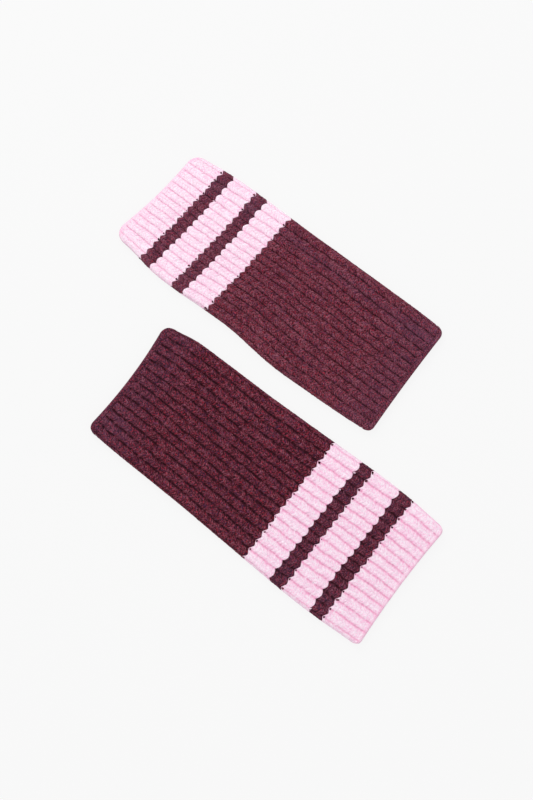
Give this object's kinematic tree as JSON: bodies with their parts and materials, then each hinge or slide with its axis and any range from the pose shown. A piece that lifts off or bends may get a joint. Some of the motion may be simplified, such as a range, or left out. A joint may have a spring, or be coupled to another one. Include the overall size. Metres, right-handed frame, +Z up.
{
  "type": "pair of knitted arm warmers",
  "caption": "Open-ended tubes of 1x1 rib knit laid flat side by side, with a striped cuff at one end, pulled over the forearms to keep them warm.",
  "frame": {"origin": "middle of the pair's footprint, on the surface it lies on", "axes": "+Z up from the surface, +Y from the near warmer to the far one, +X to the viewer's right; both tubes slope down to the right"},
  "size_m": [0.2516, 0.3458, 0.007],
  "materials": {
    "burgundy_yarn": "heathered burgundy wool-blend yarn, soft matt nap",
    "pink_yarn": "pale pink wool-blend yarn, soft matt nap"
  },
  "bodies": {
    "root": {"far_cuff_end": "pink_yarn", "far_stripe_outer": "burgundy_yarn", "far_cuff_middle": "pink_yarn", "far_stripe_inner": "burgundy_yarn", "far_cuff_top": "pink_yarn", "far_body": "burgundy_yarn", "near_cuff_end": "pink_yarn", "near_stripe_outer": "burgundy_yarn", "near_cuff_middle": "pink_yarn", "near_stripe_inner": "burgundy_yarn", "near_cuff_top": "pink_yarn", "near_body": "burgundy_yarn"}
  },
  "joints": []
}
